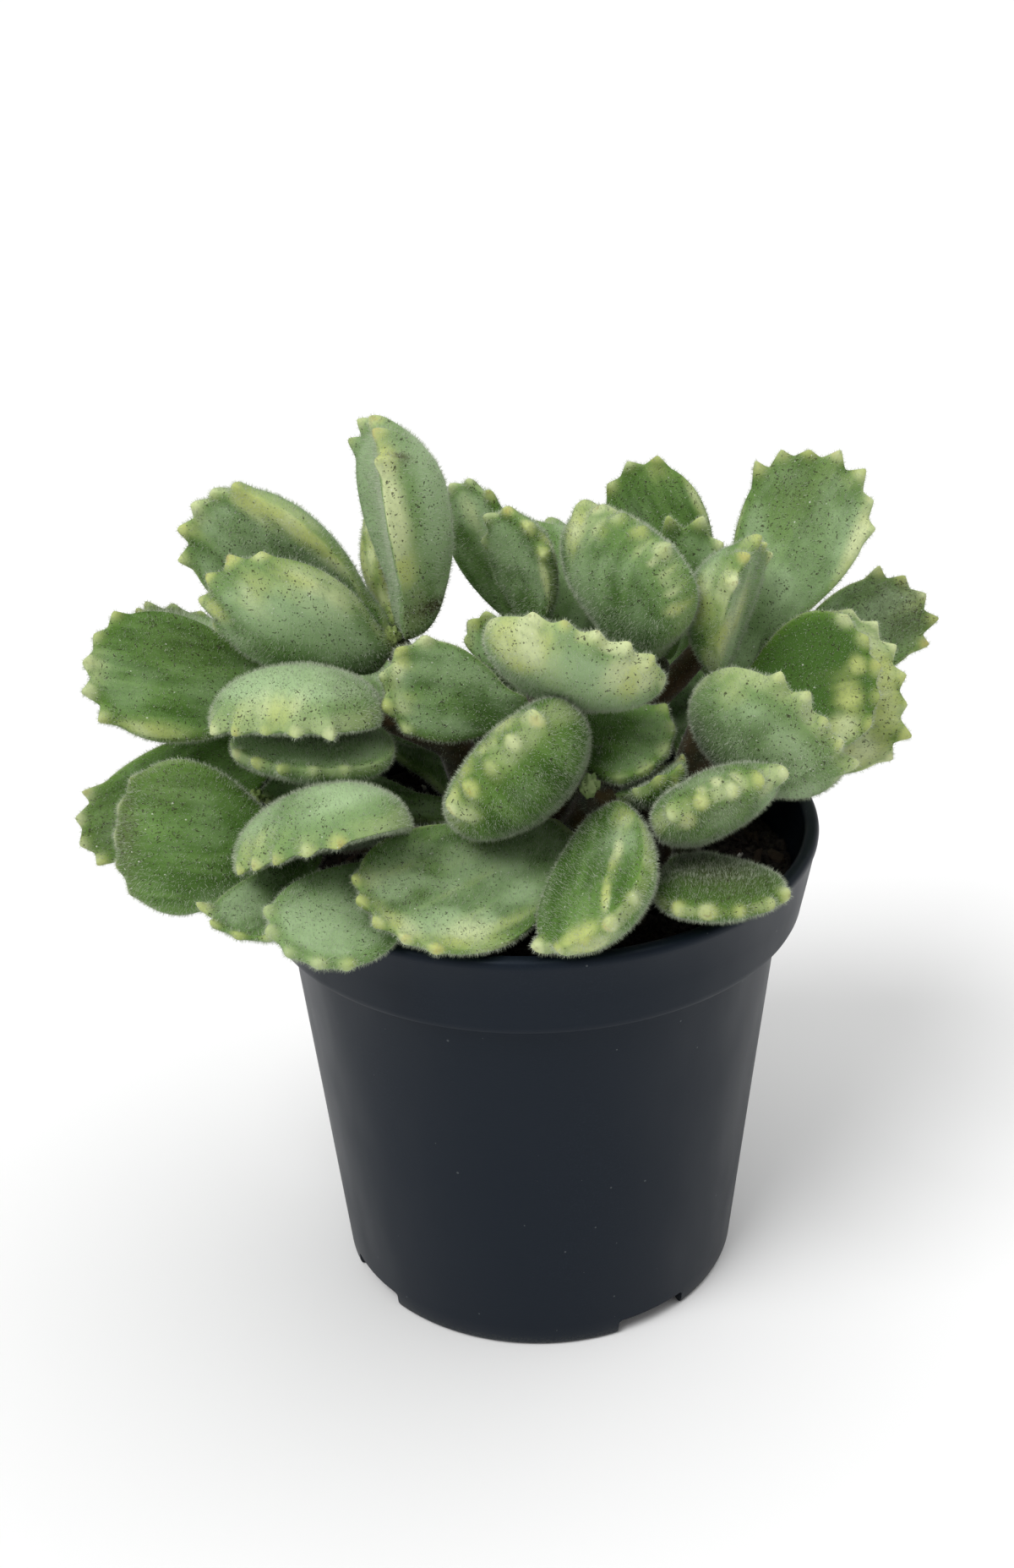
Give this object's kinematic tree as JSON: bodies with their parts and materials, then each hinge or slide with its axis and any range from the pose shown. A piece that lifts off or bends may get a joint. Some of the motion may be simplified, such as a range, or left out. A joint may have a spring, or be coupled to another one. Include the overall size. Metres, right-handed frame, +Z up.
{
  "type": "bears paw succulent in a nursery pot",
  "caption": "Potted cream-edged bear's paw succulent with thick, felted, tooth-tipped leaves on short branching stems, in a round black plastic nursery pot.",
  "frame": {"origin": "centre of the pot's flat base, on the surface it stands on", "axes": "+Z up along the pot's axis, -Y towards the plant's front, +X to the right as seen from the front"},
  "size_m": [0.1609, 0.1179, 0.1671],
  "materials": {
    "leaf": "thick sage green leaf with white felt, cream margins and brown-tipped teeth",
    "stem": "felted green-brown young stem, woody towards the soil",
    "soil": "damp dark peat and bark mix with white perlite grains",
    "pot": "satin blue-black injection-moulded polypropylene"
  },
  "bodies": {
    "root": {"pot": "pot", "soil": "soil", "stem_left": "stem", "stem_front": "stem", "stem_centre": "stem", "stem_crown": "stem", "stem_right": "stem", "stem_low": "stem", "leaf_left_top_1": "leaf", "leaf_left_top_2": "leaf", "leaf_left_top_3": "leaf", "leaf_left_top_4": "leaf", "leaf_left_1": "leaf", "leaf_left_2": "leaf", "leaf_left_3": "leaf", "leaf_left_4": "leaf", "leaf_left_5": "leaf", "leaf_front_1": "leaf", "leaf_front_2": "leaf", "leaf_front_3": "leaf", "leaf_front_4": "leaf", "leaf_centre_1": "leaf", "leaf_centre_2": "leaf", "leaf_centre_3": "leaf", "leaf_centre_4": "leaf", "leaf_centre_5": "leaf", "leaf_centre_6": "leaf", "leaf_centre_7": "leaf", "leaf_crown_1": "leaf", "leaf_crown_2": "leaf", "leaf_crown_3": "leaf", "leaf_crown_4": "leaf", "leaf_crown_5": "leaf", "leaf_right_1": "leaf", "leaf_right_2": "leaf", "leaf_right_3": "leaf", "leaf_right_4": "leaf", "leaf_right_5": "leaf", "leaf_right_6": "leaf", "leaf_low_1": "leaf", "leaf_low_2": "leaf", "leaf_low_3": "leaf", "leaf_back_1": "leaf", "leaf_back_2": "leaf", "leaf_back_3": "leaf", "leaf_back_4": "leaf", "leaf_back_5": "leaf", "leaf_back_6": "leaf", "leaf_back_7": "leaf", "leaf_back_8": "leaf", "leaf_back_9": "leaf", "leaf_back_10": "leaf", "leaf_back_11": "leaf", "leaf_back_12": "leaf"}
  },
  "joints": []
}
